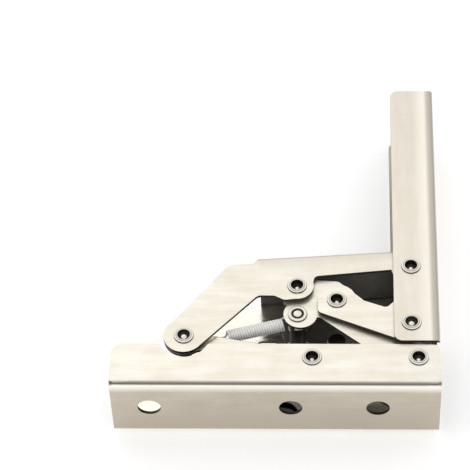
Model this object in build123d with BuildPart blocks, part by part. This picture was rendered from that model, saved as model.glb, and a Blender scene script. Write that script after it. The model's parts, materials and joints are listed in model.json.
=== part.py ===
"""Folding support bracket: two channels joined by sprung links, lying on its side at 90 degrees.

Millimetres. Z is the hinge direction, with 0 halfway between the two side plates. The base channel
runs along X with its web at Y = 0, and the leg channel stands along +Y. X = 0 is at the mounting
hole nearest the corner. Outlines are given as (along, up): the distance from the corner along the
base, and the height above the base web.
"""

import math
import os

from build123d import *

# Driving dimensions
SHEET = 1.2
BASE_LENGTH = 120.8
BASE_WIDTH = 30.0
BASE_DEPTH = 18.1
LEG_TOP = 142.3
LEG_RISE = 0.7
LEG_DEPTH = 16.8
LEG_GAP = 0.15
LEG_WEB_BOTTOM = 36.0
HOLE_RADIUS = 4.3
FIRST_HOLE = 22.8
MIDDLE_HOLE = 54.8
LAST_HOLE_INSET = 14.0
LEG_FIRST_HOLE = 72.0
LEG_HOLE_PITCH = 29.0
BEND_OUTER = 1.5
BEND_INNER = 0.4
PLATE_GAP = 0.9
CORNER_ROUND = 3.0
FAR_ROUND = 4.6
NOTCH_RADIUS = 9.8
NOTCH_LIP = 1.4
LIP_SHARE = 0.8

# Pivots, as (along, up)
BASE_LEVER = (8.05, 12.2)
LEG_SHORT = (10.4, 27.15)
BRACE_LEG = (10.15, 53.5)
BASE_SWING = (46.95, 12.15)
LEVER_SHORT = (37.9, 38.45)
SPRING_POST = (52.45, 33.3)
LEVER_BRACE = (52.75, 45.1)
BRACE_SWING = (94.25, 21.85)

# Brace: the web's line, then the cheeks' corners from the step at its end round to the leg
WEB_START = (13.0, 62.5)
WEB_END = (67.2, 58.65)
BRACE_STEP = (69.2, 55.6)
BRACE_ELBOW = (78.8, 54.8)
BRACE_TIP = ((100.4, 25.6), (88.4, 17.2))
BRACE_ARMPIT = (67.3, 40.5)
BRACE_UNDER = ((61.2, 40.4), (57.4, 38.4), (52.2, 39.05), (47.4, 43.4), (46.2, 49.6), (17.0, 52.8))
BRACE_BEND = 2.0
BRACE_LEG_END = 7.3
BRACE_HUMP = 6.2
BRACE_PIT_ROUND = 3.0
BRACE_SWING_END = 7.5

# Lever: its corners from the base round to the brace and back, and the lobe at the spring post
LEVER_LOBE = (51.4, 33.4)
LEVER_LOWER = ((12.4, 7.1), (28.9, 19.6), (43.8, 31.6))
LEVER_FAR = ((57.6, 38.0), (58.6, 45.6), (52.75, 51.0))
LEVER_UPPER = ((45.2, 49.2), (37.5, 48.7), (33.4, 45.1), (23.6, 35.7), (3.0, 16.2))
LEVER_END = 6.6
LEVER_LOBE_END = 6.3
LEVER_FAR_END = 6.2

# Short link: its lower and upper edges
SHORT_LOWER = ((9.4, 21.0), (16.5, 21.0), (44.95, 32.95), (44.95, 38.45))
SHORT_NECK = ((32.4, 43.4), (30.4, 39.1))
SHORT_DIP = (19.4, 34.9)
SHORT_SHOULDER = (16.0, 38.6)
SHORT_HIDDEN = ((12.0, 37.0), (6.9, 29.4))
SHORT_HEAD = 7.2
SHORT_LEG_END = 4.3
LINK_ROUND = 2.0

# Swing link
SWING_END = 7.3
SWING_WAIST = 7.2
SWING_ROUND = 5.0

# Rivets, washers, sleeve and post
BARREL_RADIUS = 2.9
BORE_RADIUS = 2.3
RUN_GAP = 0.05
HEAD_RADIUS = 3.65
HEAD_HEIGHT = 0.75
HEAD_ROUND = 0.3
BORE_DEPTH = 2.9
BORE_FLOOR = 0.35
BORE_ROUND = 0.6
WASHER_RADIUS = 3.9
WASHER_THICKNESS = 0.8
SLEEVE_RADIUS = 2.4
SLEEVE_BORE = 1.7
RING_RADIUS = 3.8
POST_RADIUS = 3.0
POST_NECK = 2.2
POST_HEAD_HEIGHT = 0.65

# Springs
WIRE_RADIUS = 0.45
COIL_RADIUS = 2.1
COIL_PITCH = 1.45
COIL_TURNS = 14
COIL_START = 6.4
SPRING_HEIGHT = 8.3
HOOK_GAP = 0.12

# Layers, counted outward from the middle: swing and lever plates, cheeks and flanges, leg flanges
CHEEK_TOP = BASE_WIDTH / 2
CHEEK_BOTTOM = CHEEK_TOP - SHEET
LEVER_TOP = CHEEK_BOTTOM - PLATE_GAP
LEVER_BOTTOM = LEVER_TOP - SHEET
LEG_FLANGE_BOTTOM = CHEEK_TOP + LEG_GAP
LEG_FLANGE_TOP = LEG_FLANGE_BOTTOM + SHEET
LEG_BOTTOM = BASE_DEPTH + LEG_RISE
BASE_HOLES = (FIRST_HOLE, MIDDLE_HOLE, BASE_LENGTH - LAST_HOLE_INSET)
LEG_HOLES = [LEG_FIRST_HOLE + step * LEG_HOLE_PITCH for step in range(3)]
ORIGIN_ALONG = FIRST_HOLE
SIDES = (("upper", 1), ("lower", -1))


def at(point):
    """The XY place of an (along, up) point."""
    return (ORIGIN_ALONG - point[0], point[1])


def disc(centre, radius, mode=Mode.ADD):
    """A round of an outline, or a hole in it, about an (along, up) point."""
    with Locations(at(centre)):
        Circle(radius, mode=mode)


def outline(points):
    """A straight-sided outline through (along, up) points."""
    Polygon([at(p) for p in points], align=None)


def ease(sketch, points, radius):
    """Round the outline's corner nearest to each (along, up) point."""
    corners = [sketch.vertices().sort_by_distance(Vector(*at(p)))[0] for p in points]
    fillet(corners, radius)


def slab_bottom(bottom, top, side):
    """Where a layer's lower face is, on the upper or the lower side."""
    return bottom if side > 0 else -top


def turned_ring(centre, bottom, top, outer, inner):
    """A plain ring or disc between two heights."""
    x, y = at(centre)
    height = abs(top - bottom)
    with Locations((x, y, (bottom + top) / 2)):
        Cylinder(outer, height)
        if inner > 0:
            Cylinder(inner, height, mode=Mode.SUBTRACT)


def export(builder, name):
    builder.part.label = name
    export_step(builder.part, f"parts/{name}.step")


os.makedirs("parts", exist_ok=True)

# Base channel
with BuildPart() as base_channel:
    with BuildSketch(Plane.YZ.offset(ORIGIN_ALONG - BASE_LENGTH)) as base_section:
        with Locations((BASE_DEPTH / 2, 0)):
            Rectangle(BASE_DEPTH, BASE_WIDTH)
        fillet(base_section.vertices().group_by(Axis.Y)[0], BEND_OUTER)
        with BuildSketch(Plane.YZ.offset(ORIGIN_ALONG - BASE_LENGTH), mode=Mode.SUBTRACT) as base_hollow:
            with Locations((SHEET + BASE_DEPTH / 2, 0)):
                Rectangle(BASE_DEPTH, 2 * CHEEK_BOTTOM)
            fillet(base_hollow.vertices().group_by(Axis.Y)[0], BEND_INNER)
    extrude(amount=BASE_LENGTH)
    with BuildSketch() as base_side:
        outline([(0, 0), (0, BASE_DEPTH), (BASE_LENGTH, BASE_DEPTH), (BASE_LENGTH, 0)])
        ease(base_side, [(0, BASE_DEPTH)], CORNER_ROUND)
        ease(base_side, [(BASE_LENGTH, BASE_DEPTH)], FAR_ROUND)
        disc(BRACE_SWING, NOTCH_RADIUS, Mode.SUBTRACT)
        half_notch = math.sqrt(NOTCH_RADIUS**2 - (BRACE_SWING[1] - BASE_DEPTH) ** 2)
        lips = [(BRACE_SWING[0] + s * half_notch, BASE_DEPTH) for s in (-1, 1)]
        flange_left = BASE_LENGTH - FAR_ROUND - lips[1][0]
        ease(base_side, lips, min(NOTCH_LIP, LIP_SHARE * flange_left))
        for pivot in (BASE_LEVER, BASE_SWING):
            disc(pivot, BARREL_RADIUS, Mode.SUBTRACT)
    extrude(amount=BASE_WIDTH, both=True, mode=Mode.INTERSECT)
    with Locations(Plane.XZ):
        with Locations([(ORIGIN_ALONG - a, 0, -SHEET / 2) for a in BASE_HOLES]):
            Cylinder(HOLE_RADIUS, 3 * SHEET, mode=Mode.SUBTRACT)
export(base_channel, "base_channel")

# Leg channel, whose flanges straddle the base and whose web stops short of the corner
LEG_LENGTH = LEG_TOP - LEG_BOTTOM
LEG_WIDTH = 2 * LEG_FLANGE_TOP
with BuildPart() as leg_channel:
    with BuildSketch(Plane.XZ.offset(-LEG_TOP)) as leg_section:
        with Locations((ORIGIN_ALONG - LEG_DEPTH / 2, 0)):
            Rectangle(LEG_DEPTH, LEG_WIDTH)
        fillet(leg_section.vertices().group_by(Axis.X)[-1], BEND_OUTER)
        with BuildSketch(Plane.XZ.offset(-LEG_TOP), mode=Mode.SUBTRACT) as leg_hollow:
            with Locations((ORIGIN_ALONG - SHEET - LEG_DEPTH / 2, 0)):
                Rectangle(LEG_DEPTH, 2 * LEG_FLANGE_BOTTOM)
            fillet(leg_hollow.vertices().group_by(Axis.X)[-1], BEND_INNER)
    extrude(amount=LEG_LENGTH)
    with BuildSketch() as leg_side:
        outline([(0, LEG_BOTTOM), (0, LEG_TOP), (LEG_DEPTH, LEG_TOP), (LEG_DEPTH, LEG_BOTTOM)])
        ease(leg_side, [(LEG_DEPTH, LEG_TOP), (LEG_DEPTH, LEG_BOTTOM)], CORNER_ROUND)
        disc(LEG_SHORT, BARREL_RADIUS, Mode.SUBTRACT)
        disc(BRACE_LEG, BARREL_RADIUS + RUN_GAP, Mode.SUBTRACT)
    extrude(amount=LEG_WIDTH, both=True, mode=Mode.INTERSECT)
    with BuildSketch(Plane.YZ.offset(ORIGIN_ALONG - 2 * SHEET)) as web_cut:
        with Locations((LEG_BOTTOM, 0)):
            Rectangle(2 * (LEG_WEB_BOTTOM - LEG_BOTTOM), 2 * CHEEK_TOP)
        fillet(web_cut.vertices().group_by(Axis.Y)[-1], CORNER_ROUND)
    extrude(amount=3 * SHEET, mode=Mode.SUBTRACT)
    with BuildSketch(Plane.YZ.offset(ORIGIN_ALONG - 2 * SHEET)):
        with Locations([(up, 0) for up in LEG_HOLES]):
            Circle(HOLE_RADIUS)
    extrude(amount=3 * SHEET, mode=Mode.SUBTRACT)
export(leg_channel, "leg_channel")

# Brace: two cheeks joined by a web along the edge that faces away from the base
BRACE_REACH = BASE_LENGTH + LEG_TOP
EDGE_NEAR = 0.01


def on_level(edges, height):
    """The edges that lie flat at a height on either side of the middle."""
    return edges.filter_by(lambda e: abs(abs(e.center().Z) - height) < EDGE_NEAR)


def along_web(edges, drop):
    """The edges that run along the brace's web, a drop below its outer line."""
    middle = [(a + b) / 2 for a, b in zip(WEB_START, WEB_END)]
    x, y = at(middle)
    return edges.filter_by(lambda e: math.dist((e.center().X, e.center().Y), (x, y - drop)) < SHEET / 2)


with BuildPart() as brace:
    with BuildSketch() as brace_side:
        outline(
            [WEB_START, WEB_END, BRACE_STEP, BRACE_ELBOW, BRACE_TIP[0], BRACE_SWING, BRACE_TIP[1]]
            + [BRACE_ARMPIT, *BRACE_UNDER, BRACE_LEG]
        )
        disc(BRACE_LEG, BRACE_LEG_END)
        disc(LEVER_BRACE, BRACE_HUMP)
        disc(BRACE_SWING, BRACE_SWING_END)
        ease(brace_side, [BRACE_ELBOW], CORNER_ROUND)
        ease(brace_side, [BRACE_ARMPIT], BRACE_PIT_ROUND)
        ease(brace_side, [BRACE_UNDER[0], BRACE_UNDER[1], BRACE_UNDER[4]], LINK_ROUND)
        for pivot in (BRACE_LEG, BRACE_SWING):
            disc(pivot, BARREL_RADIUS, Mode.SUBTRACT)
        disc(LEVER_BRACE, BARREL_RADIUS + RUN_GAP, Mode.SUBTRACT)
    extrude(amount=CHEEK_TOP, both=True)
    fillet(on_level(along_web(brace.edges(), 0), CHEEK_TOP), BRACE_BEND)
    with BuildSketch():
        web_start, web_end = [(a, up - SHEET) for a, up in (WEB_START, WEB_END)]
        outline(
            [(-BRACE_REACH, web_start[1]), web_start, web_end, (WEB_END[0], BRACE_REACH)]
            + [(BRACE_REACH, BRACE_REACH), (BRACE_REACH, 0), (-BRACE_REACH, 0)]
        )
    extrude(amount=CHEEK_BOTTOM, both=True, mode=Mode.SUBTRACT)
    fillet(on_level(along_web(brace.edges(), SHEET), CHEEK_BOTTOM), BRACE_BEND - SHEET)
export(brace, "brace")

# Plates that come in an upper and a lower one
for side_name, side in SIDES:
    with BuildPart() as lever_plate:
        with BuildSketch(Plane.XY.offset(slab_bottom(LEVER_BOTTOM, LEVER_TOP, side))) as lever_side:
            outline([*LEVER_LOWER, LEVER_LOBE, *LEVER_FAR, *LEVER_UPPER])
            disc(BASE_LEVER, LEVER_END)
            disc(LEVER_LOBE, LEVER_LOBE_END)
            disc(LEVER_BRACE, LEVER_FAR_END)
            ease(lever_side, LEVER_UPPER[:3], LINK_ROUND)
            disc(BASE_LEVER, BARREL_RADIUS + RUN_GAP, Mode.SUBTRACT)
            disc(LEVER_SHORT, BARREL_RADIUS, Mode.SUBTRACT)
            disc(LEVER_BRACE, BARREL_RADIUS, Mode.SUBTRACT)
            disc(SPRING_POST, POST_NECK, Mode.SUBTRACT)
        extrude(amount=SHEET)
    export(lever_plate, f"lever_{side_name}")

    with BuildPart() as short_link:
        with BuildSketch(Plane.XY.offset(slab_bottom(CHEEK_BOTTOM, CHEEK_TOP, side))) as short_side:
            outline(
                [*SHORT_LOWER, LEVER_SHORT, *SHORT_NECK, SHORT_DIP, SHORT_SHOULDER, *SHORT_HIDDEN]
            )
            disc(LEVER_SHORT, SHORT_HEAD)
            disc(LEG_SHORT, SHORT_LEG_END)
            ease(short_side, [SHORT_DIP, SHORT_SHOULDER, SHORT_LOWER[2]], LINK_ROUND)
            for pivot in (LEVER_SHORT, LEG_SHORT):
                disc(pivot, BARREL_RADIUS + RUN_GAP, Mode.SUBTRACT)
        extrude(amount=SHEET)
    export(short_link, f"short_link_{side_name}")

    with BuildPart() as swing_link:
        swing_run = math.dist(BASE_SWING, BRACE_SWING)
        swing_tilt = math.degrees(math.atan2(BRACE_SWING[1] - BASE_SWING[1], swing_run))
        swing_middle = at([(a + b) / 2 for a, b in zip(BASE_SWING, BRACE_SWING)])
        with BuildSketch(Plane.XY.offset(slab_bottom(LEVER_BOTTOM, LEVER_TOP, side))) as swing_side:
            with Locations(Location(swing_middle, -swing_tilt)):
                Rectangle(swing_run, SWING_WAIST)
            disc(BASE_SWING, SWING_END)
            disc(BRACE_SWING, SWING_END)
            fillet(swing_side.vertices(), SWING_ROUND)
            disc(BASE_SWING, BARREL_RADIUS + RUN_GAP, Mode.SUBTRACT)
            disc(BRACE_SWING, SLEEVE_RADIUS, Mode.SUBTRACT)
        extrude(amount=SHEET)
    export(swing_link, f"swing_link_{side_name}")

# Rivets with a blind bore: name, pivot, underside of the outer head, end of the barrel, inner head or none
HEAD_IN = LEVER_BOTTOM - RUN_GAP
RIVETS = (
    ("rivet_base_lever", BASE_LEVER, CHEEK_TOP, HEAD_IN, True),
    ("rivet_base_swing", BASE_SWING, CHEEK_TOP, HEAD_IN, True),
    ("rivet_lever_short", LEVER_SHORT, CHEEK_TOP + RUN_GAP, LEVER_BOTTOM, True),
    ("rivet_lever_brace", LEVER_BRACE, CHEEK_TOP + RUN_GAP, LEVER_BOTTOM, True),
    ("rivet_brace_leg", BRACE_LEG, LEG_FLANGE_TOP + RUN_GAP, CHEEK_BOTTOM, True),
    ("rivet_leg_short", LEG_SHORT, LEG_FLANGE_TOP, LEG_FLANGE_BOTTOM, False),
    ("rivet_brace_swing", BRACE_SWING, CHEEK_TOP, CHEEK_BOTTOM, False),
)
for name, pivot, outer_seat, inner_seat, has_inner_head in RIVETS:
    for side_name, side in SIDES:
        with BuildPart() as rivet:
            head_top = outer_seat + HEAD_HEIGHT
            inner_end = inner_seat - HEAD_HEIGHT if has_inner_head else inner_seat
            turned_ring(pivot, side * inner_end, side * head_top, BARREL_RADIUS, 0)
            turned_ring(pivot, side * outer_seat, side * head_top, HEAD_RADIUS, 0)
            if has_inner_head:
                turned_ring(pivot, side * inner_end, side * inner_seat, HEAD_RADIUS, 0)
            bore_end = max(head_top - BORE_DEPTH, inner_end + BORE_FLOOR)
            with Locations((*at(pivot), side * (head_top + bore_end) / 2)):
                Cylinder(BORE_RADIUS, head_top - bore_end, mode=Mode.SUBTRACT)
            fillet(on_level(rivet.edges(), head_top), HEAD_ROUND)
            fillet(on_level(rivet.edges(), bore_end), BORE_ROUND)
        export(rivet, f"{name}_{side_name}")

# Washers that space the cheeks and flanges from the lever and the swing link
WASHERS = (
    ("washer_base_lever", BASE_LEVER),
    ("washer_base_swing", BASE_SWING),
    ("washer_lever_short", LEVER_SHORT),
    ("washer_lever_brace", LEVER_BRACE),
    ("washer_brace_swing", BRACE_SWING),
)
for name, pivot in WASHERS:
    for side_name, side in SIDES:
        with BuildPart() as washer:
            washer_top = side * (LEVER_TOP + WASHER_THICKNESS)
            turned_ring(pivot, side * LEVER_TOP, washer_top, WASHER_RADIUS, BARREL_RADIUS + RUN_GAP)
        export(washer, f"{name}_{side_name}")

# Sleeve between the swing links, with a ring against each, and the post that the springs hook on
with BuildPart() as sleeve:
    turned_ring(BRACE_SWING, -LEVER_TOP, LEVER_TOP, SLEEVE_RADIUS, SLEEVE_BORE)
export(sleeve, "sleeve")

for side_name, side in SIDES:
    with BuildPart() as sleeve_ring:
        ring_end = side * (LEVER_BOTTOM - WASHER_THICKNESS)
        turned_ring(BRACE_SWING, side * LEVER_BOTTOM, ring_end, RING_RADIUS, SLEEVE_RADIUS)
    export(sleeve_ring, f"sleeve_ring_{side_name}")

with BuildPart() as spring_post:
    turned_ring(SPRING_POST, -LEVER_BOTTOM, LEVER_BOTTOM, POST_RADIUS, 0)
    turned_ring(SPRING_POST, -LEVER_TOP, LEVER_TOP, POST_NECK, 0)
    for side in (1, -1):
        head_top = LEVER_TOP + POST_HEAD_HEIGHT
        turned_ring(SPRING_POST, side * LEVER_TOP, side * head_top, HEAD_RADIUS, 0)
    fillet(on_level(spring_post.edges(), head_top), HEAD_ROUND)
export(spring_post, "spring_post")

# Springs: a hook round the post, the turns, a straight shank and a hook round the sleeve
SPRING_RUN = math.dist(SPRING_POST, BRACE_SWING)
COIL_END = COIL_START + COIL_PITCH * COIL_TURNS
POST_HOOK = POST_RADIUS + WIRE_RADIUS + HOOK_GAP
SLEEVE_HOOK = SLEEVE_RADIUS + WIRE_RADIUS + HOOK_GAP
LEAD = 2.4


def spring_place(along, across, height):
    """A point of the spring's own frame, which runs from the post to the sleeve."""
    x, y = at(SPRING_POST)
    end_x, end_y = at(BRACE_SWING)
    run = Vector(end_x - x, end_y - y, 0).normalized()
    over = Vector(0, 0, 1).cross(run)
    return Vector(x, y, SPRING_HEIGHT) + run * along + over * across + Vector(0, 0, height)


def spring_way(along, across, height):
    """A direction of the spring's own frame."""
    return (spring_place(along, across, height) - spring_place(0, 0, 0)).normalized()


def coil_point(turn):
    angle = 2 * math.pi * turn
    across = COIL_RADIUS * math.cos(angle)
    return spring_place(COIL_START + COIL_PITCH * turn, across, COIL_RADIUS * math.sin(angle))


def coil_way(turn):
    angle = 2 * math.pi * turn
    across = -2 * math.pi * COIL_RADIUS * math.sin(angle)
    return spring_way(COIL_PITCH, across, 2 * math.pi * COIL_RADIUS * math.cos(angle))


def biarc(start, start_way, end, end_way):
    """Two arcs that leave start and reach end along the given directions."""
    chord = end - start
    across = chord.dot(start_way + end_way)
    spread = 1 - start_way.dot(end_way)
    reach = (math.sqrt(across**2 + 2 * spread * chord.dot(chord)) - across) / (2 * spread)
    first = start + start_way * reach
    second = end - end_way * reach
    middle = (first + second) * 0.5
    TangentArc(start, middle, tangent=start_way)
    TangentArc(middle, end, tangent=(second - first).normalized())


def hook_point(centre, radius, degrees):
    """A point on a hook's circle, at an angle from the spring's run."""
    angle = math.radians(degrees)
    return spring_place(centre + radius * math.cos(angle), radius * math.sin(angle), 0)


ahead = spring_way(1, 0, 0)
with BuildPart() as spring:
    with BuildLine() as wire:
        tip = hook_point(0, POST_HOOK, 60)
        far = hook_point(0, POST_HOOK, 180)
        leave = hook_point(0, POST_HOOK, 290)
        leave_way = spring_way(-math.sin(math.radians(290)), math.cos(math.radians(290)), 0)
        first_arc = ThreePointArc(tip, hook_point(0, POST_HOOK, 120), far)
        ThreePointArc(far, hook_point(0, POST_HOOK, 235), leave)
        biarc(leave, leave_way, coil_point(0), coil_way(0))
        for half in range(2 * COIL_TURNS):
            biarc(coil_point(half / 2), coil_way(half / 2), coil_point(half / 2 + 0.5), coil_way(half / 2 + 0.5))
        shank = spring_place(COIL_END + LEAD, 0, 0)
        biarc(coil_point(COIL_TURNS), coil_way(COIL_TURNS), shank, ahead)
        neck = spring_place(SPRING_RUN - SLEEVE_HOOK - LEAD, 0, 0)
        Line(shank, neck)
        enter = hook_point(SPRING_RUN, SLEEVE_HOOK, 240)
        enter_way = spring_way(-math.sin(math.radians(240)), math.cos(math.radians(240)), 0)
        biarc(neck, ahead, enter, enter_way)
        over_top = hook_point(SPRING_RUN, SLEEVE_HOOK, 0)
        ThreePointArc(enter, hook_point(SPRING_RUN, SLEEVE_HOOK, 300), over_top)
        ThreePointArc(over_top, hook_point(SPRING_RUN, SLEEVE_HOOK, 70), hook_point(SPRING_RUN, SLEEVE_HOOK, 140))
    with BuildSketch(Plane(origin=tip, z_dir=first_arc % 0)):
        Circle(WIRE_RADIUS)
    sweep(path=wire.line)
for side_name, side in SIDES:
    with BuildPart() as one_spring:
        add(spring.part if side > 0 else mirror(spring.part, Plane.XY, mode=Mode.PRIVATE))
    export(one_spring, f"spring_{side_name}")

# The wire's least gap to itself, measured on points along it
GAP_STEPS = 1500
GAP_SKIP = 4 * WIRE_RADIUS
wire_length = wire.wires()[0].length
samples = [wire.wires()[0] @ (i / GAP_STEPS) for i in range(GAP_STEPS + 1)]
skip = math.ceil(GAP_SKIP * 2 / wire_length * GAP_STEPS)
least = min(
    (samples[i] - samples[j]).length
    for i in range(len(samples))
    for j in range(i + skip, len(samples), 2)
)
print(f"spring wire {wire_length:.1f} mm long, least gap to itself {least - 2 * WIRE_RADIUS:.2f} mm")
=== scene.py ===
"""Looks of the folding support bracket: plated steel, rolled rivets and close-wound springs."""

import json
import math
from functools import partial

import bmesh
import bpy
from mathutils import Matrix, Vector

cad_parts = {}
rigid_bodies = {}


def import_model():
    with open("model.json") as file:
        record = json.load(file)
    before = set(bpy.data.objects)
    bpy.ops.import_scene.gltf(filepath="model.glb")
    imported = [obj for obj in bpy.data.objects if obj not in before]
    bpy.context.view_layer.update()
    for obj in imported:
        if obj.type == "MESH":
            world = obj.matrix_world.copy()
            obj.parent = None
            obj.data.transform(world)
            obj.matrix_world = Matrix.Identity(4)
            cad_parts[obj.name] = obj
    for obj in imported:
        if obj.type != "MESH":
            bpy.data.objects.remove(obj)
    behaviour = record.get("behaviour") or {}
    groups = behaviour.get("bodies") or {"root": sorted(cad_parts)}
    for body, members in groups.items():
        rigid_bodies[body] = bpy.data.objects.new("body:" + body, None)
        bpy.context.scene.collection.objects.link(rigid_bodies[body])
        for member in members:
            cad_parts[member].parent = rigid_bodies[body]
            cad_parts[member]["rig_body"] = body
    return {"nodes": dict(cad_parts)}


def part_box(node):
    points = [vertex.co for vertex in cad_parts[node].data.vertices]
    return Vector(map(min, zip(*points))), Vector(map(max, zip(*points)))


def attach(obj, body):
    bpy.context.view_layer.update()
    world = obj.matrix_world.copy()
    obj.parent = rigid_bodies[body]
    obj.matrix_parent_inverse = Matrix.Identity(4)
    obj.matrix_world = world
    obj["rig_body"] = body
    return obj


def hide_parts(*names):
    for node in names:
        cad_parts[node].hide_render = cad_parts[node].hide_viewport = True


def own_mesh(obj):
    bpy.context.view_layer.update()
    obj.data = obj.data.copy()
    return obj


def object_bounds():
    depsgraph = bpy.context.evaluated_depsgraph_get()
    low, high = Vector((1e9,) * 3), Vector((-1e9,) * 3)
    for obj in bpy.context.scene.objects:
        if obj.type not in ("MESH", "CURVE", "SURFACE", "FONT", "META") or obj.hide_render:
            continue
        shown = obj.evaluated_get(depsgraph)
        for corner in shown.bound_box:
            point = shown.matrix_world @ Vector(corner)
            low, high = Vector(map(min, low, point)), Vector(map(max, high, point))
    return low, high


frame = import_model()
cad_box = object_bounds()
MM = 0.001
SIDES = ("upper", "lower")

# The ways that the channels' and the brace's webs face, and the sheet of all three
BASE_WEB_WAY = Vector((0, -1, 0))
LEG_WEB_WAY = Vector((1, 0, 0))
BRACE_WEB_WAY = Vector((-3.85, 54.2, 0)).normalized()
SHEET = 1.2 * MM


def points_of(node):
    return [v.co for v in frame["nodes"][node].data.vertices]


def top_of(node):
    return max(point.z for point in points_of(node))


def from_bend(node, web_way):
    """The way across a channel's upper bend, and the place of its sharp corner on that way."""
    web_face = max(point.dot(web_way) for point in points_of(node))
    return Vector((0, 0, 1)) - web_way, top_of(node) - web_face


# Materials

PATCHES = {"scale": 70, "detail": 5, "roughness": 0.6}
PATCH_LIMITS = (0.38, 0.62)
STREAKS = {"scale": 330, "detail": 4, "roughness": 0.55}
STREAK_LIMITS = (0.36, 0.64)
STREAK_SHARE = 0.5
GRAIN = {"scale": 900, "detail": 4, "roughness": 0.6}
PITS = {"scale": 1600, "detail": 5, "roughness": 0.65}
SMOOTHER = 0.06
ROUGHER = 0.08
RELIEF = 0.04 * MM
EVEN = (1, 1, 1)
GRAIN_X = (0.12, 1, 1)
GRAIN_Y = (1, 0.12, 1)
GRAIN_Z = (1, 1, 0.15)


def new_material(name):
    material = bpy.data.materials.new(name)
    material.use_nodes = True
    tree = material.node_tree
    shader = tree.nodes["Principled BSDF"]
    return material, tree, shader


def noise(tree, place, scale, detail, roughness):
    node = tree.nodes.new("ShaderNodeTexNoise")
    node.inputs["Scale"].default_value = scale
    node.inputs["Detail"].default_value = detail
    node.inputs["Roughness"].default_value = roughness
    tree.links.new(place, node.inputs["Vector"])
    return node.outputs["Fac"]


def spread(tree, value, low, high, from_low=0.3, from_high=0.7):
    node = tree.nodes.new("ShaderNodeMapRange")
    node.inputs["From Min"].default_value = from_low
    node.inputs["From Max"].default_value = from_high
    node.inputs["To Min"].default_value = low
    node.inputs["To Max"].default_value = high
    tree.links.new(value, node.inputs["Value"])
    return node.outputs["Result"]


def combined(tree, operation, first, second):
    """Two numbers put together by a math node, the second of which may be a plain one."""
    node = tree.nodes.new("ShaderNodeMath")
    node.operation = operation
    tree.links.new(first, node.inputs[0])
    if isinstance(second, float):
        node.inputs[1].default_value = second
    else:
        tree.links.new(second, node.inputs[1])
    return node.outputs[0]


def colour_mix(tree, value, first, second):
    """A mix of two colours, the first of which may be another node's output."""
    node = tree.nodes.new("ShaderNodeMix")
    node.data_type = "RGBA"
    ports = [port for port in node.inputs if port.type == "RGBA"]
    if isinstance(first, tuple):
        ports[0].default_value = (*first, 1)
    else:
        tree.links.new(first, ports[0])
    ports[1].default_value = (*second, 1)
    tree.links.new(value, node.inputs["Factor"])
    return [port for port in node.outputs if port.type == "RGBA"][0]


def stretched(tree, stretch):
    place = tree.nodes.new("ShaderNodeTexCoord")
    mapping = tree.nodes.new("ShaderNodeMapping")
    mapping.inputs["Scale"].default_value = stretch
    tree.links.new(place.outputs["Object"], mapping.inputs["Vector"])
    return mapping.outputs["Vector"]


def band(tree, way, offset, start, full, leave, end):
    """A strip across a direction: 1 between full and leave, 0 outside start and end.

    These four count from offset along the direction, in mm; offset itself is in metres.
    """
    place = tree.nodes.new("ShaderNodeTexCoord")
    along = tree.nodes.new("ShaderNodeVectorMath")
    along.operation = "DOT_PRODUCT"
    along.inputs[1].default_value = Vector(way) / MM
    tree.links.new(place.outputs["Object"], along.inputs[0])
    zero = offset / MM
    rise = spread(tree, along.outputs["Value"], 0.0, 1.0, zero + start, zero + full)
    fall = spread(tree, along.outputs["Value"], 1.0, 0.0, zero + leave, zero + end)
    return combined(tree, "MULTIPLY", rise, fall)


def marked(tree, base, marks):
    """The base colour with marks on it; each is a colour and the bands whose overlap it covers."""
    for colour, bands in marks:
        cover = band(tree, *bands[0])
        for limits in bands[1:]:
            cover = combined(tree, "MULTIPLY", cover, band(tree, *limits))
        base = colour_mix(tree, cover, base, colour)
    return base


def plated_steel(name, finish, roughness, grain=EVEN, bump=0.25, metallic=1.0, marks=()):
    """Satin plating over rolled sheet: patches, streaks, a fine grain and faint pits.

    A finish is two colours, and the patches and streaks go from the first to the second.
    """
    material, tree, shader = new_material(name)
    even = stretched(tree, EVEN)
    along = stretched(tree, grain)
    patches = spread(tree, noise(tree, even, **PATCHES), 0.0, 1.0, *PATCH_LIMITS)
    streaks = spread(tree, noise(tree, along, **STREAKS), 0.0, 1.0, *STREAK_LIMITS)
    patch_part = combined(tree, "MULTIPLY", patches, 1 - STREAK_SHARE)
    streak_part = combined(tree, "MULTIPLY", streaks, STREAK_SHARE)
    uneven = combined(tree, "ADD", patch_part, streak_part)
    base = marked(tree, colour_mix(tree, uneven, *finish), marks)
    tree.links.new(base, shader.inputs["Base Color"])
    lines = noise(tree, along, **GRAIN)
    rough = spread(tree, lines, roughness - SMOOTHER, roughness + ROUGHER)
    tree.links.new(rough, shader.inputs["Roughness"])
    shader.inputs["Metallic"].default_value = metallic
    relief = tree.nodes.new("ShaderNodeBump")
    relief.inputs["Strength"].default_value = bump
    relief.inputs["Distance"].default_value = RELIEF
    height = combined(tree, "ADD", lines, noise(tree, even, **PITS))
    tree.links.new(height, relief.inputs["Height"])
    tree.links.new(relief.outputs["Normal"], shader.inputs["Normal"])
    return material


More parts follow.
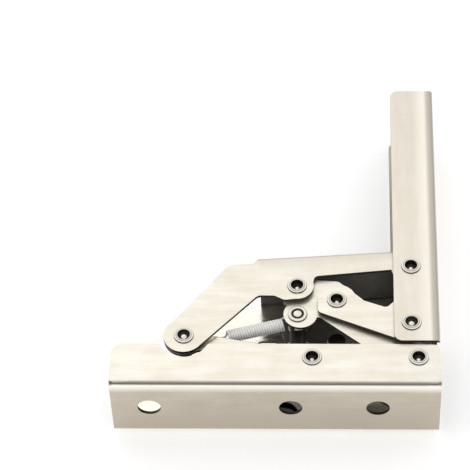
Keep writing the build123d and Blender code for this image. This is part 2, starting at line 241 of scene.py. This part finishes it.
NICKEL = ((0.94, 0.91, 0.82), (0.85, 0.785, 0.665))
# Shaded copies of the plating: the brace and the leg are painted darker than the base, standing in
# for the light falling off further back
BRACE_SHADED_NICKEL = ((0.90, 0.865, 0.77), (0.80, 0.735, 0.62))
LEG_SHADED_NICKEL = ((0.86, 0.81, 0.715), (0.79, 0.725, 0.615))
# Shaded copy of the plating: the webs are painted darker, standing in for the shaded floor they
# mirror
WEB_SHADED_NICKEL = ((0.62, 0.565, 0.48), (0.54, 0.475, 0.39))
# Painted shade: the inner faces of the links and the leg are painted darker, standing in for the
# shade between the plates
INNER_SHADE_NICKEL = ((0.34, 0.32, 0.29), (0.27, 0.255, 0.23))
LEG_INNER_SHADE_NICKEL = ((0.52, 0.49, 0.43), (0.44, 0.41, 0.36))
# Painted shade: the channels' inner bends and inner webs are painted nearly black
HOLLOW_SHADE = ((0.16, 0.155, 0.15), (0.12, 0.115, 0.11))
# Painted shade: the bevelled edges are coloured dark, drawing shadow lines along the sheet's edges
BROKEN_EDGE_SHADE = ((0.26, 0.235, 0.20), (0.20, 0.18, 0.155))
# Sheared edges: rough and streaked, and painted near-black as the shade under the plates' edges
SHEARED_EDGE_SHADE = ((0.10, 0.088, 0.072), (0.06, 0.052, 0.043))
RIVET_NICKEL = ((0.86, 0.83, 0.76), (0.80, 0.76, 0.68))
# Painted shade for the rivets' bores, grooves and rims
BORE_SHADE = ((0.06, 0.053, 0.045), (0.04, 0.035, 0.03))
WASHER_NICKEL = ((0.72, 0.69, 0.62), (0.64, 0.60, 0.53))
SPRING_WHITE = ((1.0, 0.995, 0.975), (0.98, 0.97, 0.94))

# Painted highlight: a lighter band where the base's upper bend turns into the web
BEND_PAINTED_HIGHLIGHT = (0.96, 0.93, 0.87)
# Painted reflection: a dark line along the start of the base's upper bend
BEND_DARK_REFLECTION = (0.27, 0.24, 0.21)
# Painted shade: the webs grow darker towards the floor
WEB_FOOT_SHADE = (0.52, 0.465, 0.385)
# Painted shade: a dark patch on the inside of the base's flanges under the springs
BASE_INSIDE_SHADE = (0.05, 0.047, 0.042)
# Painted shade: a grey band along the brace's web bend
BRACE_BEND_SHADE_BAND = (0.74, 0.695, 0.60)
BRACE_SHADE = (0.42, 0.385, 0.335)
# Painted shade: the leg darkens towards its top
LEG_TOP_SHADE = (0.74, 0.69, 0.60)
# Painted highlight: a lighter band beside the leg's bend
LEG_BEND_HIGHLIGHT = (0.93, 0.89, 0.79)
LEG_SHADE = (0.54, 0.505, 0.44)

# Across a bend, what is above 0 lies towards the flange's middle and what is below 0 down the web
FROM_BASE_BEND = from_bend("base_channel", BASE_WEB_WAY)
FROM_BRACE_BEND = from_bend("brace", BRACE_WEB_WAY)
FROM_LEG_BEND = from_bend("leg_channel", LEG_WEB_WAY)
BRACE_WEB_END = -44.4 * MM
# Middle of the painted shade patch inside the base
BASE_INSIDE_SHADE_SPOT = Vector((-32.5, 10.0, 0)) * MM

# Base marks: a painted highlight where the upper bend turns into the web, and a painted dark
# reflection line along the bend
BASE_MARKS = (
    (BEND_PAINTED_HIGHLIGHT, ((*FROM_BASE_BEND, -5.5, -2.2, -1.0, -0.7),)),
    (BEND_DARK_REFLECTION, ((*FROM_BASE_BEND, -0.7, -0.3, 0.4, 1.7),)),
)
# The webs: painted shade towards the floor, and the base's bend marks
WEB_MARKS = ((WEB_FOOT_SHADE, (((0, 0, -1), 0.0, -9.0, 14.0, 20.0, 21.0),)), *BASE_MARKS)
BASE_INSIDE_SHADE_BANDS = (
    ((1, 0, 0), BASE_INSIDE_SHADE_SPOT.x, -9.0, -6.5, 6.5, 9.0),
    ((0, 1, 0), BASE_INSIDE_SHADE_SPOT.y, -9.0, -6.0, 5.0, 7.0),
)
BRACE_BEND_SHADE_PLACE = (
    (*FROM_BRACE_BEND, 0.2, 1.0, 1.4, 6.8),
    ((1, 0, 0), BRACE_WEB_END, -0.3, 0.3, 200.0, 201.0),
)
# Brace marks: a band of painted shade beside the bend where the web stands, and a darker painted
# shade line at the bend's edge
BRACE_MARKS = (
    (BRACE_BEND_SHADE_BAND, BRACE_BEND_SHADE_PLACE),
    (BRACE_SHADE, ((*FROM_BRACE_BEND, -9.0, -8.0, 0.3, 1.3),)),
)
# Leg marks: painted shade growing towards the top, a painted highlight beside the bend, and
# painted shade along the bend
LEG_MARKS = (
    (LEG_TOP_SHADE, (((0, 1, 0), 0.0, 50.0, 190.0, 300.0, 301.0),)),
    (LEG_BEND_HIGHLIGHT, ((*FROM_LEG_BEND, 2.4, 3.8, 4.4, 8.5),)),
    (LEG_SHADE, ((*FROM_LEG_BEND, -1.2, -0.6, 1.9, 3.4),)),
)

steel_along = plated_steel("plated_steel_along", NICKEL, 0.36, GRAIN_X)
steel_base = plated_steel("plated_steel_base", NICKEL, 0.36, GRAIN_X, marks=BASE_MARKS)
steel_brace = plated_steel("plated_steel_brace", BRACE_SHADED_NICKEL, 0.36, GRAIN_X, marks=BRACE_MARKS)
steel_up = plated_steel("plated_steel_up", LEG_SHADED_NICKEL, 0.36, GRAIN_Y, marks=LEG_MARKS)
steel_web_shaded = plated_steel("plated_steel_web_shaded", WEB_SHADED_NICKEL, 0.40, GRAIN_X, marks=WEB_MARKS)
steel_inside = plated_steel("plated_steel_inside", NICKEL, 0.20, GRAIN_X, bump=0.15)
# Inside of the base's flanges, with the painted shade patch
steel_base_inside_shaded = plated_steel(
    "plated_steel_base_inside_shaded", NICKEL, 0.20, GRAIN_X, bump=0.15, marks=((BASE_INSIDE_SHADE, BASE_INSIDE_SHADE_BANDS),)
)
steel_inner_shaded = plated_steel("plated_steel_inner_shaded", INNER_SHADE_NICKEL, 0.42)
steel_leg_inner_shaded = plated_steel("plated_steel_leg_inner_shaded", LEG_INNER_SHADE_NICKEL, 0.42)
steel_hollow_shaded = plated_steel("plated_steel_hollow_shaded", HOLLOW_SHADE, 0.48)
steel_edge_shaded = plated_steel("broken_edge", BROKEN_EDGE_SHADE, 0.42, bump=0.3)
steel_cut_shaded = plated_steel("sheared_edge_shaded", SHEARED_EDGE_SHADE, 0.55, GRAIN_Z, bump=0.5)
steel_rivet = plated_steel("plated_rivet", RIVET_NICKEL, 0.30, bump=0.12)
rivet_shade = plated_steel("rivet_shade", BORE_SHADE, 0.5, bump=0.3)
steel_washer = plated_steel("plated_washer", WASHER_NICKEL, 0.32, bump=0.15)
spring_wire = plated_steel("spring_wire", SPRING_WHITE, 0.30, bump=0.1, metallic=0.1)


# CAD nodes that stay, with a finish for each face and broken edges; the darker inner, hollow,
# sheared and broken-edge finishes are painted shade

OUTER, INNER, CUT, WEB, WEB_INNER, EDGE = range(6)
FLAT = 0.98
FACING = 0.5
SLANTED = 0.1
BEND_REACH = 1.0 * MM
BEND_OUTER = 1.5 * MM
BEND_SEGMENTS = 8
EDGE_ROUND = 0.22 * MM
EDGE_SEGMENTS = 2
EDGE_ANGLE = 35
WELD_DISTANCE = 0.01 * MM
NEAR = 0.01 * MM
NORMAL_WEIGHT = 90


def plate_side(middle, normal):
    """Which finish a flat link's face gets: its cut rim, its outer side or its inner one. The cut
    rim and the inner side are painted darker, as shade.
    """
    if abs(normal.z) < FACING:
        return CUT
    return OUTER if normal.z * middle.z > 0 else INNER


def channel_side(inner_height, web_way, middle, normal):
    """The same for a channel whose web faces web_way and whose flanges begin at inner_height."""
    if abs(middle.z) > inner_height - BEND_REACH and abs(normal.z) > SLANTED:
        if normal.z * middle.z > 0:
            return OUTER
        return INNER if abs(normal.z) > FLAT else WEB_INNER
    if abs(middle.z) > inner_height:
        return CUT
    facing = normal.dot(web_way)
    if abs(facing) < FACING:
        return CUT
    return WEB if facing > 0 else WEB_INNER


def round_bend(piece):
    """Round the base's upper bend, which the plain solid has sharp, like its lower one."""
    mesh = piece.data
    top = top_of("base_channel") - NEAR
    corner = {v.index for v in mesh.vertices if v.co.y < NEAR and v.co.z > top}
    weights = mesh.attributes.new("bevel_weight_edge", "FLOAT", "EDGE")
    for edge in mesh.edges:
        weights.data[edge.index].value = float(corner.issuperset(edge.vertices))
    bend = piece.modifiers.new("bend", "BEVEL")
    bend.width = BEND_OUTER
    bend.segments = BEND_SEGMENTS
    bend.limit_method = "WEIGHT"


def dress(node, face_side, outer, inner, web):
    piece = frame["nodes"][node]
    piece.data.materials.clear()
    for material in (outer, inner, steel_cut_shaded, web, steel_hollow_shaded, steel_edge_shaded):
        piece.data.materials.append(material)
    for face in piece.data.polygons:
        face.material_index = face_side(face.center, face.normal)
        face.use_smooth = True
    weld = piece.modifiers.new("weld", "WELD")
    weld.merge_threshold = WELD_DISTANCE
    if node == "base_channel":
        round_bend(piece)
    edge = piece.modifiers.new("broken_edge", "BEVEL")
    edge.width = EDGE_ROUND
    edge.segments = EDGE_SEGMENTS
    edge.limit_method = "ANGLE"
    edge.angle_limit = math.radians(EDGE_ANGLE)
    edge.material = EDGE
    normals = piece.modifiers.new("even_normals", "WEIGHTED_NORMAL")
    normals.keep_sharp = True
    normals.weight = NORMAL_WEIGHT


def dress_channel(node, web_way, outer, inner, web):
    dress(node, partial(channel_side, top_of(node) - SHEET, web_way), outer, inner, web)


dress_channel("base_channel", BASE_WEB_WAY, steel_base, steel_base_inside_shaded, steel_web_shaded)
dress_channel("brace", BRACE_WEB_WAY, steel_brace, steel_inside, steel_web_shaded)
dress_channel("leg_channel", LEG_WEB_WAY, steel_up, steel_leg_inner_shaded, steel_up)
for side in SIDES:
    for name in ("lever", "short_link", "swing_link"):
        dress(f"{name}_{side}", plate_side, steel_along, steel_inner_shaded, steel_along)


# Turned pieces

TURN_SEGMENTS = 64
SAME_POINT = 1e-7


def turned(name, centre, profile, material, painted_shade=None, in_painted_shade=None):
    """A closed profile of (radius, height) points, turned about a vertical line.

    A face gets the second material, painted shade, where the given test of radius in mm, height in
    mm and how far it faces up or down says so.
    """
    mesh = bpy.data.meshes.new(name)
    shape = bmesh.new()
    rings = []
    for step in range(TURN_SEGMENTS):
        angle = 2 * math.pi * step / TURN_SEGMENTS
        way = Vector((math.cos(angle), math.sin(angle), 0))
        rings.append([shape.verts.new(centre + way * r + Vector((0, 0, z))) for r, z in profile])
    for step in range(TURN_SEGMENTS):
        here, there = rings[step], rings[(step + 1) % TURN_SEGMENTS]
        for i in range(len(profile)):
            j = (i + 1) % len(profile)
            shape.faces.new((here[i], there[i], there[j], here[j]))
    bmesh.ops.remove_doubles(shape, verts=shape.verts, dist=SAME_POINT)
    bmesh.ops.dissolve_degenerate(shape, edges=shape.edges, dist=SAME_POINT)
    bmesh.ops.recalc_face_normals(shape, faces=shape.faces)
    shape.to_mesh(mesh)
    shape.free()
    piece = bpy.data.objects.new(name, mesh)
    bpy.context.scene.collection.objects.link(piece)
    mesh.materials.append(material)
    if painted_shade:
        mesh.materials.append(painted_shade)
    for face in mesh.polygons:
        face.use_smooth = True
        radius = (face.center - centre).to_2d().length / MM
        if painted_shade and in_painted_shade(radius, face.center.z / MM, abs(face.normal.z)):
            face.material_index = 1
    return piece


def node_centre(node):
    low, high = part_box(node)
    return Vector(((low.x + high.x) / 2, (low.y + high.y) / 2, 0)), low.z, high.z


def body_of(node):
    return frame["nodes"][node]["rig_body"]


def put(piece, node):
    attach(piece, body_of(node))
    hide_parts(node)


# Rivets, their sizes in mm

RIVET_RIM = 3.65
RIVET_HEAD = 0.75
RIVET_BARREL = 2.9
RIVET_BORE = 2.3
BORE_DEPTH = 2.9
BORE_FLOOR = 0.35
BORE_STUD = 1.45
STUD_RISE = 0.36

# Radius and height: the rolled head's from its seat, the bore's from its floor, the inner end's
# from its face. The stud's heights are shares of its rise
ROLLED_HEAD = (
    (RIVET_BARREL, 0.00),
    (RIVET_RIM - 0.04, 0.00),
    (RIVET_RIM, 0.10),
    (RIVET_RIM, 0.26),
    (RIVET_RIM - 0.07, 0.40),
    (RIVET_RIM - 0.22, 0.49),
    (3.15, 0.50),
    (3.02, 0.47),
    (2.93, 0.38),
    (2.86, 0.36),
    (2.80, 0.44),
    (2.72, 0.62),
    (2.62, 0.72),
    (2.50, RIVET_HEAD),
    (2.40, 0.72),
    (2.32, 0.62),
    (RIVET_BORE, 0.45),
)
BORE_CORNER = (
    (RIVET_BORE, 0.60),
    (RIVET_BORE - 0.10, 0.27),
    (RIVET_BORE - 0.30, 0.08),
    (RIVET_BORE - 0.60, 0.00),
)
STUD = (
    (BORE_STUD, 0.00),
    (BORE_STUD - 0.15, 0.35),
    (BORE_STUD - 0.45, 0.75),
    (BORE_STUD - 0.95, 0.95),
    (0.0, 1.00),
)
INNER_HEAD = (
    (0.0, 0.0),
    (RIVET_RIM - 0.25, 0.0),
    (RIVET_RIM, 0.2),
    (RIVET_RIM, RIVET_HEAD),
    (RIVET_BARREL, RIVET_HEAD),
)
PLAIN_END = ((0.0, 0.0), (RIVET_BARREL, 0.0))

# Where the rivets get painted shade: the bore, the groove and the head's rim
GROOVE_INSIDE = 2.84
GROOVE_OUTSIDE = 2.95
BORE_LIP = 0.05
RIM_DEPTH = 0.06
RIM_FACING = 0.7


def rivet_profile(far, seat, outer_top, inner_end):
    """The rolled head from its rim down into the blind bore, then the inner end and the barrel."""
    up = 1 if outer_top > seat else -1
    depth = min(abs(outer_top - far) - BORE_FLOOR * MM, BORE_DEPTH * MM)
    floor_height = outer_top - up * depth
    rise = STUD_RISE * depth
    profile = [(r * MM, seat + up * h * MM) for r, h in ROLLED_HEAD]
    profile += [(r * MM, floor_height + up * h * MM) for r, h in BORE_CORNER]
    profile += [(r * MM, floor_height + up * share * rise) for r, share in STUD]
    return profile + [(r * MM, far + up * h * MM) for r, h in inner_end]


def on_rim(radius, facing_up):
    return radius > RIVET_RIM - RIM_DEPTH and facing_up < RIM_FACING


def rivet_shaded_faces(radius, height, facing_up):
    """Painted shade: the bore's wall and corner, the groove in the rolled head, and the head's rim
    as its contact shadow.
    """
    in_bore = BORE_STUD < radius < RIVET_BORE + BORE_LIP
    in_groove = GROOVE_INSIDE < radius < GROOVE_OUTSIDE
    return in_bore or in_groove or on_rim(radius, facing_up)


RIVETS = (
    ("rivet_base_lever", INNER_HEAD),
    ("rivet_base_swing", INNER_HEAD),
    ("rivet_lever_short", INNER_HEAD),
    ("rivet_lever_brace", INNER_HEAD),
    ("rivet_brace_leg", INNER_HEAD),
    ("rivet_leg_short", PLAIN_END),
    ("rivet_brace_swing", PLAIN_END),
)
for name, inner_end in RIVETS:
    for side in SIDES:
        node = f"{name}_{side}"
        centre, low, high = node_centre(node)
        outer_top = high if side == "upper" else low
        far = low if side == "upper" else high
        seat = outer_top - math.copysign(RIVET_HEAD * MM, outer_top)
        profile = rivet_profile(far, seat, outer_top, inner_end)
        piece = turned(f"{node}_rolled", centre, profile, steel_rivet, rivet_shade, rivet_shaded_faces)
        put(piece, node)


# Washers, the sleeve and its rings

WASHER_BORE = 2.96 * MM
WASHER_RADIUS = 3.9 * MM
WASHER_EASE = 0.12 * MM
SLEEVE_BORE = 1.7 * MM
SLEEVE_RADIUS = 2.4 * MM
SLEEVE_RING = 3.8 * MM
SLEEVE_EASE = 0.15 * MM


def ring_profile(low, high, inner, outer, ease):
    return [
        (inner, low + ease),
        (inner + ease, low),
        (outer - ease, low),
        (outer, low + ease),
        (outer, high - ease),
        (outer - ease, high),
        (inner + ease, high),
        (inner, high - ease),
    ]


WASHERS = (
    "washer_base_lever",
    "washer_base_swing",
    "washer_lever_short",
    "washer_lever_brace",
    "washer_brace_swing",
)
for name in WASHERS:
    for side in SIDES:
        node = f"{name}_{side}"
        centre, low, high = node_centre(node)
        profile = ring_profile(low, high, WASHER_BORE, WASHER_RADIUS, WASHER_EASE)
        put(turned(f"{node}_turned", centre, profile, steel_washer), node)
for side in SIDES:
    node = f"sleeve_ring_{side}"
    centre, low, high = node_centre(node)
    profile = ring_profile(low, high, SLEEVE_RADIUS, SLEEVE_RING, SLEEVE_EASE)
    put(turned(f"{node}_turned", centre, profile, steel_washer), node)

sleeve_centre, low, high = node_centre("sleeve")
profile = ring_profile(low, high, SLEEVE_BORE, SLEEVE_RADIUS, SLEEVE_EASE)
put(turned("sleeve_turned", sleeve_centre, profile, steel_washer), "sleeve")


# The post, with closed heads whose middles are set down inside a ring; its sizes are in mm

POST_RADIUS = 3.0
POST_NECK = 2.2
POST_HEAD = 0.65
POST_DISH = 1.55
POST_RING = 2.3
PLATE = SHEET / MM

# Radius and height from the head's seat, from the middle of the head to the barrel
POST_HALF = (
    (0.0, 0.52),
    (1.0, 0.50),
    (1.5, 0.42),
    (1.75, 0.26),
    (1.95, 0.20),
    (2.15, 0.26),
    (2.35, 0.48),
    (2.7, 0.62),
    (3.1, POST_HEAD),
    (3.4, 0.58),
    (RIVET_RIM - 0.05, 0.40),
    (RIVET_RIM, 0.18),
    (RIVET_RIM - 0.03, 0.0),
    (POST_NECK, 0.0),
    (POST_NECK, -PLATE),
    (POST_RADIUS - 0.15, -PLATE),
    (POST_RADIUS, -PLATE - 0.15),
)
post_centre, low, high = node_centre("spring_post")
head_seat = high / MM - POST_HEAD


def post_shaded_faces(radius, height, facing_up):
    """Painted shade: the ring set down in each head, the heads' rims, and the barrel between the
    plates.
    """
    in_ring = POST_DISH < radius < POST_RING
    return in_ring or abs(height) < head_seat or on_rim(radius, facing_up)


upper_half = [(r * MM, (head_seat + z) * MM) for r, z in POST_HALF]
lower_half = [(r, -z) for r, z in reversed(upper_half)]
profile = upper_half + lower_half
piece = turned("spring_post_turned", post_centre, profile, steel_rivet, rivet_shade, post_shaded_faces)
put(piece, "spring_post")


# Springs

WIRE = 0.45 * MM
WIRE_SIDES = 10
COIL = 2.1 * MM
COIL_PITCH = 0.93 * MM
COIL_START = 5.5 * MM
COIL_LENGTH = 21.2 * MM
COIL_END = COIL_START + COIL_LENGTH
TURNS = round(COIL_LENGTH / COIL_PITCH)
TURN_STEPS = 28
SHANK = 2.4 * MM
HOOK_GAP = 0.12 * MM
POST_HOOK = POST_RADIUS * MM + WIRE + HOOK_GAP
SLEEVE_HOOK = SLEEVE_RADIUS + WIRE + HOOK_GAP
POST_HOOK_FROM, POST_HOOK_TO = 60, 290
SLEEVE_HOOK_FROM, SLEEVE_HOOK_TO = 240, 500
HOOK_STEP = 10

# Lengths in mm from post to sleeve. The hooks are longer than wide, so that they still clear
# their pins when the springs have shortened
SPRING_REST = 43.34
SPRING_FOLDED = 38.34
HOOK_STRETCH = SPRING_REST / SPRING_FOLDED

# How far each joining curve is pulled at its two ends, in mm, and its steps
POST_TO_COIL = (2.2, 2.0, 14)
COIL_TO_SHANK = (1.6, 1.6, 12)
SHANK_TO_SLEEVE = (1.8, 1.8, 10)
COIL_WAY = Vector((0, 0, -1))
SHANK_WAY = Vector((1, 0, 0))


def tube(name, points, radius, material):
    """A round wire through points, with closed ends."""
    mesh = bpy.data.meshes.new(name)
    shape = bmesh.new()
    up = Vector((0, 0, 1))
    rings = []
    last = len(points) - 1
    for i, point in enumerate(points):
        way = (points[min(i + 1, last)] - points[max(i - 1, 0)]).normalized()
        up = (up - way * up.dot(way)).normalized()
        side_way = way.cross(up)
        ring = []
        for k in range(WIRE_SIDES):
            angle = 2 * math.pi * k / WIRE_SIDES
            out = up * math.cos(angle) + side_way * math.sin(angle)
            ring.append(shape.verts.new(point + out * radius))
        rings.append(ring)
    for i in range(last):
        for k in range(WIRE_SIDES):
            n = (k + 1) % WIRE_SIDES
            shape.faces.new((rings[i][k], rings[i][n], rings[i + 1][n], rings[i + 1][k]))
    shape.faces.new(reversed(rings[0]))
    shape.faces.new(rings[-1])
    bmesh.ops.recalc_face_normals(shape, faces=shape.faces)
    shape.to_mesh(mesh)
    shape.free()
    piece = bpy.data.objects.new(name, mesh)
    bpy.context.scene.collection.objects.link(piece)
    mesh.materials.append(material)
    for face in mesh.polygons:
        face.use_smooth = True
    return piece


def joining(start, start_way, end, end_way, start_pull, end_pull, steps):
    """Points on a curve that leaves start and reaches end along the given ways."""
    p1 = start + start_way * start_pull * MM
    p2 = end - end_way * end_pull * MM
    made = []
    for i in range(1, steps + 1):
        t = i / steps
        s = 1 - t
        made.append(start * s**3 + p1 * 3 * s * s * t + p2 * 3 * s * t * t + end * t**3)
    return made


def on_hook(centre, radius, degrees):
    angle = math.radians(degrees)
    along = centre + HOOK_STRETCH * radius * math.cos(angle)
    return Vector((along, radius * math.sin(angle), 0))


def hook_way(degrees):
    angle = math.radians(degrees)
    return Vector((-HOOK_STRETCH * math.sin(angle), math.cos(angle), 0)).normalized()


def on_coil(turn):
    angle = 2 * math.pi * turn
    along = COIL_START + COIL_LENGTH * turn / TURNS
    return Vector((along, -COIL * math.cos(angle), -COIL * math.sin(angle)))


def spring_line(length):
    """(along, across, height) of the wire's middle, from the post's hook to the sleeve's."""
    post_hook = range(POST_HOOK_FROM, POST_HOOK_TO + 1, HOOK_STEP)
    points = [on_hook(0, POST_HOOK, degrees) for degrees in post_hook]
    leave_way = hook_way(POST_HOOK_TO)
    points += joining(points[-1], leave_way, on_coil(0), COIL_WAY, *POST_TO_COIL)
    points += [on_coil(i / TURN_STEPS) for i in range(1, TURNS * TURN_STEPS + 1)]
    shank = Vector((COIL_END + SHANK, 0, 0))
    points += joining(points[-1], COIL_WAY, shank, SHANK_WAY, *COIL_TO_SHANK)
    neck = Vector((length - SLEEVE_HOOK - SHANK, 0, 0))
    points.append(neck)
    enter = on_hook(length, SLEEVE_HOOK, SLEEVE_HOOK_FROM)
    points += joining(neck, SHANK_WAY, enter, hook_way(SLEEVE_HOOK_FROM), *SHANK_TO_SLEEVE)
    sleeve_hook = range(SLEEVE_HOOK_FROM + HOOK_STEP, SLEEVE_HOOK_TO + 1, HOOK_STEP)
    points += [on_hook(length, SLEEVE_HOOK, degrees) for degrees in sleeve_hook]
    return points


run = sleeve_centre - post_centre
line = spring_line(run.length)
run = run.normalized()
across = Vector((0, 0, 1)).cross(run)
for side in SIDES:
    node = f"spring_{side}"
    low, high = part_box(node)
    height = (low.z + high.z) / 2
    flip = 1 if side == "upper" else -1
    points = []
    for p in line:
        lift = Vector((0, 0, height + flip * p.z))
        points.append(post_centre + run * p.x + across * p.y + lift)
    piece = tube(f"{node}_wound", points, WIRE, spring_wire)
    put(piece, node)
    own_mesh(piece)


# Floor, which glows only where the camera or a reflection sees it, and so keeps its shadow

FLOOR_GAP = 0.02 * MM
FLOOR_Z = cad_box[0].z - FLOOR_GAP
FLOOR_SIZE = 6
FLOOR_WHITE = (0.88, 0.88, 0.88)
FLOOR_ROUGHNESS = 0.9
FLOOR_SHINE = 0.1
FLOOR_GLOW = 0.36
bpy.ops.mesh.primitive_plane_add(size=FLOOR_SIZE, location=(0, 0, FLOOR_Z))
floor = bpy.context.object
floor.name = "floor"
floor_material, tree, shader = new_material("floor_white")
shader.inputs["Base Color"].default_value = (*FLOOR_WHITE, 1)
shader.inputs["Roughness"].default_value = FLOOR_ROUGHNESS
shader.inputs["Specular IOR Level"].default_value = FLOOR_SHINE
rays = tree.nodes.new("ShaderNodeLightPath")
glow = tree.nodes.new("ShaderNodeEmission")
glow.inputs["Color"].default_value = (1, 1, 1, 1)
both = tree.nodes.new("ShaderNodeAddShader")
seen = rays.outputs["Is Camera Ray"]
for kind in ("Is Glossy Ray", "Is Transmission Ray"):
    seen = combined(tree, "MAXIMUM", seen, rays.outputs[kind])
tree.links.new(combined(tree, "MULTIPLY", seen, FLOOR_GLOW), glow.inputs["Strength"])
tree.links.new(shader.outputs[0], both.inputs[0])
tree.links.new(glow.outputs[0], both.inputs[1])
tree.links.new(both.outputs[0], tree.nodes["Material Output"].inputs["Surface"])
floor.data.materials.append(floor_material)


# Sky, brightest high up behind the bracket

SKY_LOW, SKY_HIGH = 0.3, 0.93
SKY_FROM, SKY_TO = -0.30, 0.72
SKY_WAY = (0, 0.35, 0.776)
world = bpy.data.worlds.new("studio")
bpy.context.scene.world = world
world.use_nodes = True
tree = world.node_tree
sky = tree.nodes["Background"]
sky.inputs["Color"].default_value = (1.0, 1.0, 1.0, 1)
way = tree.nodes.new("ShaderNodeTexCoord")
lean = tree.nodes.new("ShaderNodeVectorMath")
lean.operation = "DOT_PRODUCT"
lean.inputs[1].default_value = SKY_WAY
tree.links.new(way.outputs["Generated"], lean.inputs[0])
strength = spread(tree, lean.outputs["Value"], SKY_LOW, SKY_HIGH, SKY_FROM, SKY_TO)
tree.links.new(strength, sky.inputs["Strength"])


# Lamps: name, place from the bracket's middle and size in metres, and power

LAMPS = (
    ("top_back", (-0.35, 0.75, 0.85), (0.9, 0.7), 0.65),
    ("front", (0.1, -0.9, 0.85), (0.9, 0.5), 0.8),
    ("left_front", (-0.9, -0.5, 0.9), (0.6, 0.6), 0.4),
)
middle = (cad_box[0] + cad_box[1]) / 2
for name, offset, size, power in LAMPS:
    lamp = bpy.data.lights.new(name, "AREA")
    lamp.shape = "RECTANGLE"
    lamp.size, lamp.size_y = size
    lamp.energy = power
    holder = bpy.data.objects.new(name, lamp)
    bpy.context.scene.collection.objects.link(holder)
    holder.location = middle + Vector(offset)
    holder.rotation_mode = "QUATERNION"
    holder.rotation_quaternion = (-Vector(offset)).to_track_quat("-Z", "Y")


# Camera, fitted to the photograph

VIEW_TARGET = Vector((-55.6, 94.0, -15.3)) * MM
VIEW_TURN = 4.008
VIEW_ELEVATION = 50.9
VIEW_ROLL = -3.08
VIEW_DISTANCE = 924.4 * MM
LENS = 178.0
SENSOR = 36.0
turn = math.radians(VIEW_TURN)
raise_angle = math.radians(VIEW_ELEVATION)
level = math.cos(raise_angle)
back = Vector((math.sin(turn) * level, -math.cos(turn) * level, math.sin(raise_angle)))
side_way = Vector((math.cos(turn), math.sin(turn), 0))
up_way = back.cross(side_way)
roll = math.radians(VIEW_ROLL)
right = side_way * math.cos(roll) + up_way * math.sin(roll)
up = up_way * math.cos(roll) - side_way * math.sin(roll)
camera_data = bpy.data.cameras.new("camera")
camera_data.lens = LENS
camera_data.sensor_width = SENSOR
camera = bpy.data.objects.new("camera", camera_data)
bpy.context.scene.collection.objects.link(camera)
place = VIEW_TARGET + back * VIEW_DISTANCE
axes = Matrix((right, up, back)).transposed().to_4x4()
camera.matrix_world = Matrix.Translation(place) @ axes
bpy.context.scene.camera = camera

bpy.context.scene.view_settings.view_transform = "Standard"

bpy.context.view_layer.update()
